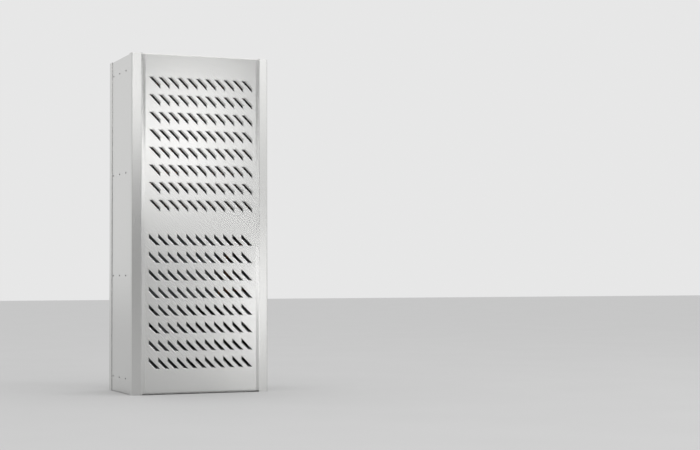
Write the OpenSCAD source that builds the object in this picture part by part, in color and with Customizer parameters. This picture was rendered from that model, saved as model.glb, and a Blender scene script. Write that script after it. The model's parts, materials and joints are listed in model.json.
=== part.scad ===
// Wall-mounted cooling unit for an electrical enclosure.
// Frame: X to the right, Y from the louvred front to the wall, Z up.
// The origin is in the middle of the bottom of the whole unit.
// Outdoor air enters the lower louvres, passes the fan and condenser, and leaves by the upper ones.
// Enclosure air enters the round opening in the back, passes the evaporator and leaves below.

/* [Housing] */
// Overall width
unit_w = 400; // [395:1:440]
// Overall height
unit_h = 950; // [935:1:1050]
// Overall depth, from the front panel to the wall
unit_d = 260; // [257:1:300]
// Thickness of the stainless sheet
sheet = 1.5; // [1:0.1:2]
// Width of the folded flanges of the inner casing
edge_flange = 15; // [13:1:18]
// Depth of the outdoor chamber, from the front panel to the partition
outdoor_depth = 162; // [160:1:163]

/* [Front cover] */
// Width of the bevelled strip at each side, seen from the front
bevel_w = 26.5; // [20:0.5:30]
// How far a bevelled strip falls back from the front panel
bevel_d = 8; // [6:0.5:10]
// Depth of the side return behind the bevel
return_d = 22; // [18:1:30]
// Depth of the top and bottom flanges
cover_flange = 22; // [20:1:26]
// Outside radius of the folds
cover_bend = 4; // [3:0.5:6]
// Screws along the bottom flange
cover_screw_count = 3; // [2:1:5]
// Thread diameter of a cover screw
cover_screw_d = 4; // [3:0.5:5]

/* [Louvres] */
// Least distance from the middle of a louvre to the side edge of the flat panel
louvre_side = 35; // [33:1:38]
// Least distance from the middle of a louvre to the top and bottom
louvre_end = 70; // [64:1:80]
// Distance between columns
louvre_pitch_x = 27; // [24:0.5:28]
// Distance between rows
louvre_pitch_z = 49; // [46:0.5:49.5]
// Length of the cut edge
louvre_slit = 47; // [40:1:49]
// Width of a louvre in the plane of the panel
louvre_w = 9; // [8:0.5:10]
// Open gap between the cut edge and the lip, seen from the front
louvre_throat = 4.2; // [3:0.1:5]
// How far the lip is pressed inwards
louvre_depth = 5; // [4:0.5:7]
// Distance between the two groups, from cut edge to cut edge
louvre_band = 94; // [88:1:100]

/* [Side rivets] */
// Rows of rivets on each side
rivet_rows = 4; // [4:1:6]
// Distance of the outer rows from the top and bottom
rivet_inset = 43; // [38:1:50]
// Distance of the first rivet behind the front panel
rivet_first = 73; // [71:1:75]
// Distance between the rivets of a row
rivet_pitch = 70.5; // [68:0.5:74]
// Diameter of a rivet head
rivet_head_d = 5.6; // [4.5:0.1:6.5]
// Diameter of a rivet shank
rivet_d = 3.2; // [2.4:0.1:4]

/* [Rear frame] */
// Depth of the rear frame
rear_frame_d = 27; // [20:1:30]
// Outside radius of its rear edges
rear_bend = 3; // [2.5:0.5:5]
// Thickness of the foam seal against the enclosure
gasket_t = 3; // [3:0.5:4]
// Width of the foam seal
gasket_w = 12; // [8:1:14]
// Distance of the fixing nuts from the side faces
nut_inset_x = 10; // [9.5:0.5:11]
// Distance of the outer fixing nuts from the top and bottom
nut_inset_z = 40; // [30:1:60]
// Thread diameter of the fixing nuts
nut_thread_d = 6; // [5:1:6]
// Height of the outlet opening
outlet_h = 120; // [80:1:140]
// Width of the outlet opening
outlet_w = 250; // [180:1:260]
// Lower edge of the outlet opening
outlet_z = 60; // [40:1:80]

/* [Coils] */
// Room at each side of the fin packs for the tube bends and lines
coil_side = 47; // [45:1:60]
// Depth of the fin packs
coil_d = 44; // [40:1:48]
// Distance between tubes, upwards
tube_pitch = 31; // [28:0.5:31]
// Least room between the condenser and the top plate
condenser_headroom = 55; // [54:1:80]
// Least room between the evaporator and the enclosure impeller
evaporator_headroom = 60; // [55:1:75]
// Outside diameter of the coil tubes
coil_tube_d = 9.5; // [7:0.5:10]
// Distance between fins
fin_pitch = 6; // [4:0.5:10]
// Thickness of a fin
fin_t = 0.5; // [0.3:0.1:1]
// Lower edge of the evaporator
evaporator_z = 330; // [320:1:350]

/* [Outdoor fan] */
// Distance from the partition to the fan shroud
fan_space = 90; // [88:1:92]
// Diameter over the blade tips
axial_d = 250; // [220:2:256]
// Diameter of the hub
axial_hub_d = 96; // [80:1:110]
// Number of blades
axial_blades = 7; // [5:1:9]
// Gap between the blade tips and the ring
tip_gap = 5; // [3:0.5:8]
// Depth of the fan motor
axial_motor_h = 36; // [30:1:38]

/* [Enclosure fan] */
// Diameter of the centrifugal impeller
radial_d = 190; // [170:2:200]
// Diameter of its inlet
radial_inlet_d = 124; // [110:1:130]
// Number of blades
radial_blades = 9; // [7:1:12]
// Height of its centre below the top of the unit
radial_drop = 135; // [130:1:150]
// Depth of the fan motor
radial_motor_h = 34; // [28:1:36]
// Width of the blades along the shaft
radial_blade_w = 36; // [30:1:38]

/* [Refrigeration] */
// Diameter of the compressor shell
compressor_d = 118; // [100:1:122]
// Room between the compressor shell and the baffle for the lines and the drier
line_room = 236.4; // [232.4:1:270.4]
// Diameter of the suction accumulator
accumulator_d = 50; // [40:1:52]
// How much shorter the accumulator is than the shell
accumulator_less = 85; // [81:1:120]
// Diameter of the discharge and liquid lines
line_d = 9.5; // [8:0.5:10]
// Diameter of the suction line
suction_d = 12; // [10:0.5:12.5]
// Length of the filter drier
drier_h = 90; // [70:1:95]

/* [Electrical] */
// Width of the control box
control_w = 88; // [70:1:90]
// Depth of the control box
control_d = 100; // [80:1:110]
// Height of the control box
control_h = 240; // [180:1:260]

/* [Hidden] */
$fn = 48;

// Clearance between pieces that pass through each other, and the overrun of cuts
fit = 0.3;
over = 1;

// Planes of the casing
front_y = -unit_d / 2;
rear_y = unit_d / 2;
body_w = unit_w - 2 * sheet;
body_top = unit_h - sheet;
body_bottom = sheet;
body_setback = 4;
body_front = front_y + bevel_d + body_setback;
rear_plate_y = rear_y - gasket_t;
rear_inner_y = rear_plate_y - sheet;
inner_x = body_w / 2 - sheet;
floor_z = body_bottom + sheet;
ceiling_z = body_top - sheet;
partition_y = front_y + outdoor_depth;
indoor_y = partition_y + sheet;
panel_w = unit_w - 2 * bevel_w;
mid_rise = 2.4;
mid_z = unit_h / 2 + mid_rise;
louvre_cols = 2 * floor((panel_w / 2 - louvre_side) / louvre_pitch_x) + 1;
louvre_rows = floor((unit_h / 2 - louvre_band / 2 - louvre_end) / louvre_pitch_z) + 1;

// Rails, brackets and rivets
rail_w = 18;
rail_end = 5;
bracket_l = 36;
rivet_head_h = 0.8;
rivet_tail = 1.5;
rivet_grip = 2 * sheet + rivet_tail;
rivet_ys = [for (i = [0:2]) front_y + rivet_first + i * rivet_pitch];
rivet_zs = [for (i = [0:rivet_rows - 1])
    rivet_inset + i * (unit_h - 2 * rivet_inset) / (rivet_rows - 1)];
rail_front = rivet_ys[0] - rail_end;

// Coils
coil_half = inner_x - coil_side;
coil_w = 2 * coil_half;
plate_t = 1.5;
plate_margin = 2;
stub_l = 3;
pipe_gap = 2;
row_gap = coil_d / 2;
bend_x = coil_half + plate_t + stub_l;
shroud_y = partition_y - fan_space;
condenser_y = shroud_y - plate_margin - coil_d / 2;
condenser_rise = 33;
condenser_z = mid_z + condenser_rise;
condenser_tubes_up = 2 * floor((ceiling_z - condenser_headroom - condenser_z) / (2 * tube_pitch));
condenser_h = condenser_tubes_up * tube_pitch;
evaporator_setback = 46;
evaporator_y = indoor_y + evaporator_setback;
radial_z = unit_h - radial_drop;
evaporator_room = radial_z - radial_d / 2 - evaporator_headroom - evaporator_z;
evaporator_tubes_up = 2 * floor(evaporator_room / (2 * tube_pitch));
evaporator_h = evaporator_tubes_up * tube_pitch;
header_gap = 18;
header_x = bend_x + header_gap;
condenser_header_x = bend_x + (tube_pitch + coil_tube_d + line_d) / 2 + pipe_gap;

// Fans
fan_z = condenser_z + condenser_h / 2;
shroud_head = 20;
motor_flange = 106;
motor_flange_t = 2;
motor_screw_gap = 90;
motor_screw_d = 4;
motor_d = 88;
shaft_d = 8;
shaft_l = 24;
hub_gap = 4;
axial_hub_h = 30;
axial_hub_t = 2.5;
ring_t = 1.5;
ring_l = 38;
ring_flare = 8;
ring_r = axial_d / 2 + tip_gap;
radial_disc_t = 2;
radial_disc_y = indoor_y + motor_flange_t + radial_motor_h + hub_gap;
radial_ring_y = radial_disc_y + radial_disc_t + radial_blade_w;
inlet_gap = 3;

// Refrigeration circuit
compressor_side = 31;
accumulator_gap = 2;
accumulator_x = inner_x - compressor_side - accumulator_d / 2;
compressor_x = accumulator_x - accumulator_d / 2 - accumulator_gap - compressor_d / 2;
compressor_setback = 85;
compressor_y = front_y + compressor_setback;
foot_t = 3;
foot_gap_x = 120;
foot_gap_y = 90;
foot_lug_r = 14;
stud_d = 6;
stud_tail = 9;
washer_t = 1.5;
grommet_h = 10;
grommet_r = 12;
grommet_neck_r = 8;
grommet_top_h = 4;
foot_z = floor_z + grommet_h;
shell_z = foot_z + foot_t;
compressor_h = mid_z - line_room - shell_z;
shell_top = shell_z + compressor_h;
accumulator_h = compressor_h - accumulator_less;
accumulator_z = 60;
accumulator_top = accumulator_z + accumulator_h;
line_bend = 12;
small_bend = 9;
discharge_rise = 46;
discharge_z = shell_top + discharge_rise;
drier_side = 77;
drier_back = 22;
drier_drop = 8;
drier_r = 12;
drier_neck = 10;
drier_collar = 1;
drier_x = inner_x - drier_side;
drier_y = partition_y - drier_back;
drier_z = discharge_z - drier_drop;
liquid_rise = 48;
liquid_z = drier_z + drier_h + liquid_rise;
valve_drop = 30;
valve_z = drier_z - valve_drop;
valve_w = 24;
valve_side = 26;
valve_x = header_x - valve_side;
suction_drop = 37;
suction_z = valve_z - suction_drop;

// Condensate drain
tray_wall_h = 26;
tray_gap = 3;
tray_z = evaporator_z - tray_gap - sheet;
tray_overhang = 9;
tray_lead = 6;
tray_half = coil_half + tray_overhang;
drain_inset = 14;
drain_x = -tray_half + drain_inset;
drain_y = evaporator_y;
spout_d = 13;
hose_t = 2.5;
spout_l = 20;
drain_flange_t = 2;
hose_gap_low = 5;
hose_gap_high = 2;

// Control box
box_t = 1;
control_gap = 1.5;
control_x = -inner_x + rail_w + control_gap + control_w / 2;
control_z = 88;
board_t = 1.6;

// Small parts
terminal_ways = 7;
terminal_pitch = 7.6;
terminal_h = 22;
terminal_side = 87;
terminal_x = -inner_x + terminal_side;
terminal_z = 262;
steel = "silver";
galvanised = "lightsteelblue";
copper = "peru";
dark = "dimgray";

// Vector helpers for sheet sections
function unit_of(v) = v / norm(v);
function left_of(v) = [-v.y, v.x];
function reversed(list) = [for (i = [len(list) - 1:-1:0]) list[i]];

// Corner of a path cut back into an arc of the given radius
function fold_arc(p, d0, d1, r, steps) =
    let (turn = atan2(cross(d0, d1), d0 * d1),
         start = p - d0 * r * tan(abs(turn) / 2),
         centre = start + sign(turn) * r * left_of(d0),
         arm = start - centre)
    [for (k = [0:steps]) let (a = turn * k / steps)
        centre + [arm.x * cos(a) - arm.y * sin(a), arm.x * sin(a) + arm.y * cos(a)]];

// Path with every inner corner rounded
function folded(path, r, steps = 4) = [
    path[0],
    for (i = [1:len(path) - 2])
        each fold_arc(path[i], unit_of(path[i] - path[i - 1]), unit_of(path[i + 1] - path[i]), r, steps),
    path[len(path) - 1]
];

// Path moved to its left by the sheet thickness, mitred at the corners
function moved_left(path, t) = [
    for (i = [0:len(path) - 1])
        let (before = unit_of(i > 0 ? path[i] - path[i - 1] : path[1] - path[0]),
             after = i < len(path) - 1 ? unit_of(path[i + 1] - path[i]) : before,
             n0 = left_of(before), n1 = left_of(after))
        path[i] + t * (n0 + n1) / (1 + n0 * n1)
];

// Section of a bent sheet whose outer face follows the path
module bent_sheet(path, t = sheet) {
    polygon(concat(path, reversed(moved_left(path, t))));
}

// Extrudes a section drawn in [y, z] along X, centred
module along_x(l) {
    translate([-l / 2, 0, 0]) rotate([90, 0, 90]) linear_extrude(l) children();
}

// Places a drawing in [x, z] on the plane y, with its front at the drawing's top
module on_plane_y(y) {
    translate([0, y, 0]) rotate([90, 0, 0]) children();
}

// Cylinder along Y from y0 to y1
module rod_y(d, y0, y1) {
    translate([0, y1, 0]) rotate([90, 0, 0]) cylinder(d = d, h = y1 - y0);
}

// Round pipe along a path of points, with a bend of radius r at every corner
module pipe(points, d, r = line_bend) {
    last = len(points) - 1;
    for (i = [0:last - 1]) {
        dir = unit_of(points[i + 1] - points[i]);
        cut0 = i > 0 ? r * tan(bend_angle(points, i) / 2) : 0;
        cut1 = i < last - 1 ? r * tan(bend_angle(points, i + 1) / 2) : 0;
        translate(points[i] + dir * cut0)
            rotate([0, acos(dir.z), atan2(dir.y, dir.x)])
                cylinder(d = d, h = norm(points[i + 1] - points[i]) - cut0 - cut1);
    }
    for (i = [1:last - 1]) pipe_bend(points, i, d, r);
}

function bend_angle(points, i) =
    acos(unit_of(points[i] - points[i - 1]) * unit_of(points[i + 1] - points[i]));

module pipe_bend(points, i, d, r) {
    d0 = unit_of(points[i] - points[i - 1]);
    d1 = unit_of(points[i + 1] - points[i]);
    angle = bend_angle(points, i);
    inward = unit_of(d1 - d0 * (d0 * d1));
    centre = points[i] - d0 * r * tan(angle / 2) + inward * r;
    x_axis = -inward;
    z_axis = cross(x_axis, d0);
    multmatrix([
        [x_axis.x, d0.x, z_axis.x, centre.x],
        [x_axis.y, d0.y, z_axis.y, centre.y],
        [x_axis.z, d0.z, z_axis.z, centre.z]
    ]) rotate_extrude(angle = angle) translate([r, 0]) circle(d = d);
}

// Louvres. A louvre is drawn with its cut edge along X, its fold below and its depth downwards.
fold_half = louvre_slit / 2 - louvre_w;

module louvre_hole() {
    polygon([[-fold_half, -louvre_w], [fold_half, -louvre_w], [louvre_slit / 2, 0], [-louvre_slit / 2, 0]]);
}

module louvre_pocket() {
    outline = [
        [-fold_half, -louvre_w, 0], [fold_half, -louvre_w, 0], [louvre_slit / 2, 0, 0],
        [fold_half, -louvre_throat, -louvre_depth], [-fold_half, -louvre_throat, -louvre_depth],
        [-louvre_slit / 2, 0, 0]
    ];
    n = len(outline);
    back = [for (p = outline) p - [0, 0, sheet]];
    front_faces = [[0, 4, 3, 1], [1, 3, 2], [5, 4, 0]];
    back_faces = [for (f = front_faces) [for (v = reversed(f)) v + n]];
    side_faces = [for (i = [0:n - 1]) let (j = (i + 1) % n) [i, j, j + n, i + n]];
    polyhedron(concat(outline, back), concat(front_faces, back_faces, side_faces), convexity = 4);
}

// Both groups of louvres: intake below with the fold at the lower left, outlet above turned round
module louvre_grid() {
    for (group = [-1, 1], row = [0:louvre_rows - 1], col = [0:louvre_cols - 1])
        translate([(col - (louvre_cols - 1) / 2) * louvre_pitch_x,
                   mid_z + group * (louvre_band / 2 + row * louvre_pitch_z)])
            rotate(group < 0 ? -45 : 135) children();
}

panel_run = 6;
panel_leg = cover_bend + panel_run;
hook_w = 20;
hook_x = 110;
hook_h = 10;
cover_screw_edge = 6;
cover_screw_inset = 40;
cover_screw_tail = 3;
cover_screw_y = front_y + cover_flange - cover_screw_edge;
cover_screw_xs = [for (i = [0:cover_screw_count - 1])
    (i - (cover_screw_count - 1) / 2) * (panel_w - 2 * cover_screw_inset) / (cover_screw_count - 1)];
cover_head_h = 1.2;

// Webs that close the corners between the flanges and the bevelled strips
module corner_webs(z, back_y) {
    for (side = [0, 1]) mirror([side, 0, 0]) translate([0, 0, z]) linear_extrude(sheet) polygon([
        [panel_w / 2 - sheet, front_y + sheet], [panel_w / 2, front_y + sheet / 2],
        [(unit_w - sheet) / 2, front_y + bevel_d + sheet], [(unit_w - sheet) / 2, back_y],
        [panel_w / 2 - sheet, back_y]]);
}

module front_cover() {
    color(steel) {
        on_plane_y(front_y) {
            translate([0, 0, -sheet]) linear_extrude(sheet) difference() {
                translate([-panel_w / 2 + sheet, floor_z + panel_leg])
                    square([panel_w - 2 * sheet, unit_h - floor_z - 2 * panel_leg]);
                louvre_grid() louvre_hole();
            }
            louvre_grid() louvre_pocket();
        }
        for (side = [0, 1]) mirror([side, 0, 0]) linear_extrude(unit_h) bent_sheet(concat(
            [[panel_w / 2 - sheet, front_y], [panel_w / 2, front_y]],
            fold_arc([unit_w / 2, front_y + bevel_d], unit_of([bevel_w, bevel_d]), [0, 1], cover_bend, 4),
            [[unit_w / 2, front_y + bevel_d + return_d]]));
        difference() {
            along_x(panel_w - 2 * sheet) bent_sheet(folded(
                [[front_y, floor_z + panel_leg], [front_y, floor_z], [front_y + cover_flange, floor_z]],
                cover_bend));
            for (x = cover_screw_xs) translate([x, cover_screw_y, 0])
                cylinder(d = cover_screw_d + 2 * fit, h = floor_z + sheet + over);
        }
        along_x(panel_w - 2 * sheet) bent_sheet(folded(
            [[front_y + cover_flange, unit_h], [front_y, unit_h], [front_y, unit_h - panel_leg]],
            cover_bend));
        for (x = [-hook_x, hook_x])
            translate([x - hook_w / 2, front_y + cover_flange - sheet, unit_h - hook_h])
                cube([hook_w, sheet, hook_h]);
        corner_webs(unit_h - sheet, front_y + cover_flange);
        corner_webs(floor_z, body_front - fit);
    }
}

module cover_screws() {
    color(dark) for (x = cover_screw_xs) translate([x, cover_screw_y, body_bottom]) {
        translate([0, 0, -cover_head_h]) difference() {
            cylinder(d = 2 * cover_screw_d, h = cover_head_h);
            cylinder(d = cover_screw_d / 2, h = 2 * cover_head_h, $fn = 6, center = true);
        }
        cylinder(d = cover_screw_d, h = 3 * sheet + cover_screw_tail);
    }
}

module cover_nuts() {
    color(steel) for (x = cover_screw_xs) translate([x, cover_screw_y, floor_z + sheet]) difference() {
        cylinder(d = 2 * cover_screw_d, h = 0.8 * cover_screw_d, $fn = 6);
        translate([0, 0, -over]) cylinder(d = cover_screw_d + fit, h = cover_screw_d + 2 * over);
    }
}

// Casing
module side_panel() {
    difference() {
        translate([0, 0, floor_z]) linear_extrude(ceiling_z - floor_z) bent_sheet(folded([
            [body_w / 2 - edge_flange, body_front], [body_w / 2, body_front],
            [body_w / 2, rear_inner_y], [body_w / 2 - edge_flange, rear_inner_y]], rear_bend));
        for (y = rivet_ys, z = rivet_zs) translate([inner_x - over, y, z])
            rotate([0, 90, 0]) cylinder(d = rivet_d + fit, h = sheet + 2 * over);
        for (z = nut_zs) translate([nut_x, 0, z])
            rod_y(nut_body_d + fit, rear_inner_y - sheet - over, rear_inner_y + over);
    }
}

module side_panel_right() { color(steel) side_panel(); }
module side_panel_left() { color(steel) mirror([1, 0, 0]) side_panel(); }

plate_flange_w = body_w - 2 * edge_flange - 2 * fit;
plate_depth = rear_inner_y - rear_bend - body_front;

module top_plate() {
    color(steel) {
        difference() {
            translate([-body_w / 2, body_front, ceiling_z]) cube([body_w, plate_depth, sheet]);
            for (x = [-hook_x, hook_x])
                translate([x - hook_w / 2 - fit, front_y + cover_flange - sheet - fit, ceiling_z - over])
                    cube([hook_w + 2 * fit, sheet + 2 * fit, sheet + 2 * over]);
        }
        translate([-plate_flange_w / 2, body_front, ceiling_z - edge_flange])
            cube([plate_flange_w, sheet, edge_flange]);
        along_x(plate_flange_w) bent_sheet(folded([
            [rear_inner_y, ceiling_z - edge_flange], [rear_inner_y, body_top],
            [body_front + plate_depth - rear_bend, body_top]], rear_bend));
    }
}

module base_plate() {
    color(steel) {
        difference() {
            translate([-body_w / 2, body_front, body_bottom]) cube([body_w, plate_depth, sheet]);
            for (x = cover_screw_xs) translate([x, cover_screw_y, 0])
                cylinder(d = cover_screw_d + 2 * fit, h = floor_z + over);
            translate([drain_x, drain_y, 0]) cylinder(d = spout_d + fit, h = floor_z + over);
        }
        along_x(plate_flange_w) bent_sheet(folded([
            [body_front + plate_depth - rear_bend, body_bottom], [rear_inner_y, body_bottom],
            [rear_inner_y, floor_z + edge_flange]], rear_bend));
    }
}

// Block with rounded rear edges, from y0 back to y1, resting at z0
module rear_block(w, h, z0, y0, y1, r) {
    intersection() {
        linear_extrude(z0 + h) rear_profile(w, y0, y1, r);
        translate([0, 0, z0 + h / 2]) rotate([0, 90, 0])
            translate([0, 0, -w / 2]) linear_extrude(w) rear_profile(h, y0, y1, r);
        translate([-w / 2, y0, z0]) cube([w, y1 - y0, h]);
    }
}

module rear_profile(w, y0, y1, r) {
    translate([-w / 2, y0]) square([w, y1 - y0 - r]);
    translate([-w / 2 + r, y0]) square([w - 2 * r, y1 - y0]);
    for (x = [-w / 2 + r, w / 2 - r]) translate([x, y1 - r]) circle(r);
}

nut_x = unit_w / 2 - nut_inset_x;
nut_zs = [nut_inset_z, unit_h / 2, unit_h - nut_inset_z];
nut_wall = 1.5;
nut_flange_w = 3.5;
nut_body_d = nut_thread_d + 2 * nut_wall;
nut_flange_d = nut_thread_d + 2 * nut_flange_w;
nut_flange_t = 1;
nut_l = 14;
inlet_margin = 18;
inlet_hole_d = radial_inlet_d + 2 * inlet_margin;
terminal_w = terminal_ways * terminal_pitch;
guard_screw_d = 4;
guard_lug_out = 7;
guard_r = inlet_hole_d / 2 + guard_lug_out;

module rear_frame() {
    color(steel) difference() {
        rear_block(unit_w, unit_h, 0, rear_plate_y - rear_frame_d, rear_plate_y, rear_bend);
        rear_block(body_w, unit_h - 2 * sheet, sheet, rear_plate_y - rear_frame_d - over,
            rear_inner_y, rear_bend - sheet);
        translate([0, 0, radial_z]) rod_y(inlet_hole_d, rear_inner_y - over, rear_plate_y + over);
        translate([-outlet_w / 2, rear_inner_y - over, outlet_z])
            cube([outlet_w, sheet + 2 * over, outlet_h]);
        translate([terminal_x - terminal_w / 2 - fit, rear_inner_y - over, terminal_z - terminal_h / 2 - fit])
            cube([terminal_w + 2 * fit, sheet + 2 * over, terminal_h + 2 * fit]);
        for (x = [-nut_x, nut_x], z = nut_zs) translate([x, 0, z])
            rod_y(nut_body_d + fit, rear_inner_y - over, rear_plate_y + over);
        at_guard_lugs() rod_y(guard_screw_d + fit, rear_inner_y - over, rear_plate_y + over);
    }
}

gasket_gap = 2;
gasket_half = nut_x - nut_flange_d / 2 - gasket_gap;
gasket_inset_z = 18;

module wall_gasket() {
    color("black") on_plane_y(rear_y) linear_extrude(gasket_t) difference() {
        translate([-gasket_half, gasket_inset_z])
            square([2 * gasket_half, unit_h - 2 * gasket_inset_z]);
        translate([-gasket_half + gasket_w, gasket_inset_z + gasket_w])
            square([2 * (gasket_half - gasket_w), unit_h - 2 * (gasket_inset_z + gasket_w)]);
    }
}

module fixing_nuts() {
    color(steel) for (x = [-nut_x, nut_x], z = nut_zs) translate([x, 0, z]) difference() {
        union() {
            rod_y(nut_flange_d, rear_plate_y, rear_plate_y + nut_flange_t);
            rod_y(nut_body_d, rear_plate_y - nut_l, rear_plate_y);
        }
        rod_y(nut_thread_d, rear_plate_y - nut_l - over, rear_plate_y + nut_flange_t + over);
    }
}

module side_rivets() {
    color(dark) for (side = [0, 1], y = rivet_ys, z = rivet_zs)
        mirror([side, 0, 0]) translate([body_w / 2, y, z]) rotate([0, 90, 0]) difference() {
            union() {
                cylinder(d1 = rivet_head_d, d2 = 0.6 * rivet_head_d, h = rivet_head_h);
                translate([0, 0, -rivet_grip]) cylinder(d = rivet_d, h = rivet_grip);
            }
            cylinder(d = rivet_d / 2, h = rivet_head_h + over);
        }
}

// Angle bracket along Y on the inside of the right side panel, its shelf at height z
module side_angle(y0, y1, z, ys) {
    difference() {
        translate([0, y1, z]) rotate([90, 0, 0]) linear_extrude(y1 - y0) bent_sheet([
            [inner_x, -rail_w / 2], [inner_x, rail_w / 2], [inner_x - rail_w, rail_w / 2]]);
        for (y = ys) translate([inner_x - sheet - over, y, z])
            rotate([0, 90, 0]) cylinder(d = rivet_d + fit, h = sheet + 2 * over);
    }
}

module outdoor_rails() {
    color(galvanised) for (side = [0, 1], z = rivet_zs) mirror([side, 0, 0])
        side_angle(rail_front, partition_y, z, [rivet_ys[0], rivet_ys[1]]);
}

module indoor_brackets() {
    color(galvanised) for (side = [0, 1], z = rivet_zs) mirror([side, 0, 0])
        side_angle(rivet_ys[2] - bracket_l / 2, rivet_ys[2] + bracket_l / 2, z, [rivet_ys[2]]);
}

partition_flange = 12;
pipe_hole_gap = 4;
pipe_grommet_lip = 2;
liquid_hole = [drier_x, valve_z];
suction_hole = [header_x, suction_z];

module partition() {
    color(galvanised) difference() {
        translate([0, 0, floor_z]) linear_extrude(ceiling_z - floor_z) bent_sheet([
            [-inner_x, partition_y + partition_flange], [-inner_x, partition_y],
            [inner_x, partition_y], [inner_x, partition_y + partition_flange]]);
        for (p = [[liquid_hole, line_d], [suction_hole, suction_d]]) translate([p[0].x, 0, p[0].y])
            rod_y(p[1] + 2 * pipe_hole_gap, partition_y - over, indoor_y + over);
        at_motor_screws(fan_z) rod_y(motor_screw_d + fit, partition_y - over, indoor_y + over);
        at_motor_screws(radial_z) rod_y(motor_screw_d + fit, partition_y - over, indoor_y + over);
    }
}

module pipe_grommets() {
    color("black") for (p = [[liquid_hole, line_d], [suction_hole, suction_d]])
        translate([p[0].x, partition_y + sheet / 2, p[0].y]) rotate([90, 0, 0])
            rotate_extrude() difference() {
                translate([p[1] / 2 + fit, -sheet / 2 - pipe_grommet_lip])
                    square([pipe_hole_gap + pipe_grommet_lip, sheet + 2 * pipe_grommet_lip]);
                translate([p[1] / 2 + pipe_hole_gap - fit, -sheet / 2])
                    square([2 * pipe_hole_gap, sheet]);
            }
}

baffle_side_gap = 6;
baffle_nose = panel_w / 2 - baffle_side_gap;
seal_t = 4;
seal_w = 12;

// Plate with the bell-mouthed ring of the outdoor fan, folded forward to part the two plenums
module fan_shroud() {
    color(galvanised) {
        difference() {
            translate([-inner_x, shroud_y, mid_z])
                cube([2 * inner_x, sheet, condenser_z + condenser_h + shroud_head - mid_z]);
            translate([0, 0, fan_z])
                rod_y(2 * (ring_r + ring_flare), shroud_y - over, shroud_y + sheet + over);
            for (side = [0, 1], z = rivet_zs) mirror([side, 0, 0])
                translate([inner_x - rail_w - fit, shroud_y - over, z - rail_w / 2 - fit])
                    cube([rail_w + 2 * fit, sheet + 2 * over, rail_w + 2 * fit]);
        }
        translate([0, shroud_y, fan_z]) rotate([-90, 0, 0]) rotate_extrude() fan_ring_section();
        difference() {
            union() {
                translate([-inner_x, body_front + sheet + fit, mid_z])
                    cube([2 * inner_x, shroud_y + sheet - body_front - sheet - fit, sheet]);
                translate([-baffle_nose, front_y + sheet + seal_t, mid_z])
                    cube([2 * baffle_nose, body_front - front_y, sheet]);
            }
            for (row = [-1, 1]) translate([condenser_header_x, condenser_y + row * row_gap / 2, mid_z - over])
                cylinder(d = line_d + 2 * fit, h = sheet + 2 * over);
        }
    }
}

// Straight ring with a quarter-round mouth, drawn as [radius, depth] behind the shroud plate
module fan_ring_section() {
    translate([ring_r, ring_flare]) square([ring_t, ring_l - ring_flare]);
    intersection() {
        translate([ring_r + ring_flare, ring_flare]) difference() {
            circle(ring_flare);
            circle(ring_flare - ring_t);
        }
        translate([ring_r, 0]) square(ring_flare);
    }
}

module baffle_seal() {
    color("black") translate([-baffle_nose, front_y + sheet, mid_z + sheet / 2 - seal_w / 2])
        cube([2 * baffle_nose, seal_t, seal_w]);
}

// Coils. Tube centres of a coil, as [y, z] from its middle
function tube_centres(n) = [
    for (row = [-1, 1], k = [0:n - 1]) [row * row_gap / 2, (k - (n - 1) / 2) * tube_pitch]
];

module coil_plate(n, margin, hole_gap) {
    difference() {
        translate([-coil_d / 2 - margin, -n * tube_pitch / 2 - margin])
            square([coil_d + 2 * margin, n * tube_pitch + 2 * margin]);
        for (c = tube_centres(n)) translate(c) circle(d = coil_tube_d + 2 * hole_gap);
    }
}

module coil_fins(n) {
    count = floor((coil_w - fin_pitch) / fin_pitch);
    for (i = [0:count]) translate([(i - count / 2) * fin_pitch - fin_t / 2, 0, 0])
        rotate([90, 0, 90]) linear_extrude(fin_t) coil_plate(n, 0, fit / 2);
}

module coil_end_plates(n, foot_side) {
    for (side = [0, 1]) mirror([side, 0, 0]) {
        translate([coil_half, 0, 0]) rotate([90, 0, 90])
            linear_extrude(plate_t) coil_plate(n, plate_margin, fit);
        foot_y = foot_side * (coil_d / 2 + plate_margin) - (foot_side > 0 ? plate_t : 0);
        translate([coil_half, foot_y, -n * tube_pitch / 2 - plate_margin])
            cube([edge_flange, plate_t, n * tube_pitch + 2 * plate_margin]);
    }
}

// Serpentine of two rows, joined at one end; start is 1 where both open ends are at the top
module coil_tubes(n, start) {
    z_of = [for (k = [0:n - 1]) start * ((n - 1) / 2 - k) * tube_pitch];
    for (row = [-1, 1]) translate([0, row * row_gap / 2, 0]) {
        for (k = [0:n - 1]) translate([-bend_x, 0, z_of[k]])
            rotate([0, 90, 0]) cylinder(d = coil_tube_d, h = 2 * bend_x);
        for (k = [0:n - 2]) mirror([k % 2 == 0 ? 1 : 0, 0, 0])
            translate([bend_x, 0, (z_of[k] + z_of[k + 1]) / 2])
                rotate([90, 90, 0]) rotate_extrude(angle = 180)
                    translate([tube_pitch / 2, 0]) circle(d = coil_tube_d);
    }
    translate([bend_x, 0, z_of[n - 1]]) rotate(-90)
        rotate_extrude(angle = 180) translate([row_gap / 2, 0]) circle(d = coil_tube_d);
}

module at_condenser() { translate([0, condenser_y, condenser_z + condenser_h / 2]) children(); }
module at_evaporator() { translate([0, evaporator_y, evaporator_z + evaporator_h / 2]) children(); }

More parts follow.
